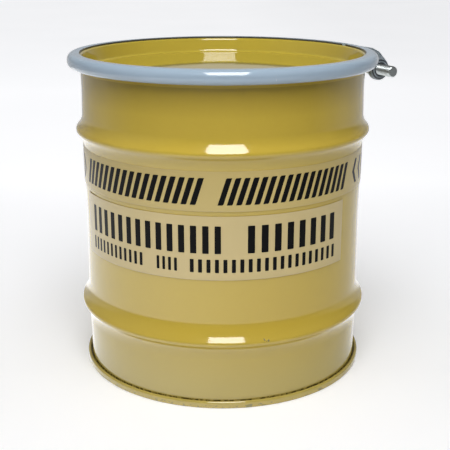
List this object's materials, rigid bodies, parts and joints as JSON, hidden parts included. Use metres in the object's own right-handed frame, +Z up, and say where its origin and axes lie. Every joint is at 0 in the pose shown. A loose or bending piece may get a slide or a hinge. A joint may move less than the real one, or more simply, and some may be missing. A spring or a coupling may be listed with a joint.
{
  "type": "overpack salvage drum",
  "caption": "Open-head steel drum with rolling hoops, countersunk lid, gasket and bolted closing ring, for overpacking leaking containers.",
  "frame": {"origin": "on the drum's axis, in the plane of the bottom chime's rest face", "axes": "+Z up along the drum's axis; -Y is the front, where the marking panel is; the closing ring's bolt is at +X, 25 degrees towards +Y"},
  "size_m": [0.5518, 0.5065, 0.527],
  "materials": {
    "body_paint": "gloss salvage-yellow enamel",
    "lid_paint": "gloss salvage-yellow enamel",
    "ring_paint": "satin grey enamel",
    "lug_steel": "forged, thin grey paint",
    "zinc_plate": "bright zinc plate",
    "gasket_rubber": "moulded EPDM",
    "sealing_compound": "cured seaming compound",
    "marking_film": "clear gloss film with plain black marks"
  },
  "bodies": {
    "drum": {"body_shell": "body_paint", "bottom_head": "body_paint", "seam_compound": "sealing_compound", "marking_band": "marking_film", "marking_panel": "marking_film"},
    "lid": {"lid": "lid_paint", "lid_gasket": "gasket_rubber"},
    "ring": {"closing_ring": "ring_paint", "plain_lug": "lug_steel"},
    "ring_free_end": {"threaded_lug": "lug_steel"},
    "bolt_carrier": {"bolt_washer": "zinc_plate"},
    "bolt": {"closing_bolt": "zinc_plate"},
    "jam_nut": {"jam_nut": "zinc_plate"}
  },
  "joints": [
    {"name": "lid_lift", "type": "slide", "parent": "drum", "child": "lid", "axis": [0, 0, 1], "range_m": [0, 0.2]},
    {"name": "ring_lift", "type": "slide", "parent": "lid", "child": "ring", "axis": [0, 0, 1], "range_m": [0, 0.1]},
    {"name": "ring_spread", "type": "hinge", "parent": "ring", "child": "ring_free_end", "pos_m": [-0.22839, -0.1065, 0.516], "axis": [0, 0, -1], "range_deg": [0, 1.85], "deforming": ["closing_ring"]},
    {"name": "bolt_advance", "type": "slide", "parent": "ring_free_end", "child": "bolt_carrier", "axis": [-0.4226, 0.9063, 0], "range_m": [0, 0.01778]},
    {"name": "bolt_turn", "type": "hinge", "parent": "bolt_carrier", "child": "bolt", "pos_m": [0.25649, 0.1196, 0.485], "axis": [-0.4226, 0.9063, 0], "range_deg": [0, 2520]},
    {"name": "jam_nut_turn", "type": "hinge", "parent": "bolt", "child": "jam_nut", "pos_m": [0.25649, 0.1196, 0.485], "axis": [-0.4226, 0.9063, 0], "range_deg": [0, 120]}
  ],
  "couplings": [
    {"joint": "bolt_turn", "follows": "bolt_advance", "rad_per_m": 2473.7},
    {"joint": "ring_spread", "follows": "bolt_advance", "rad_per_m": 1.8182}
  ]
}
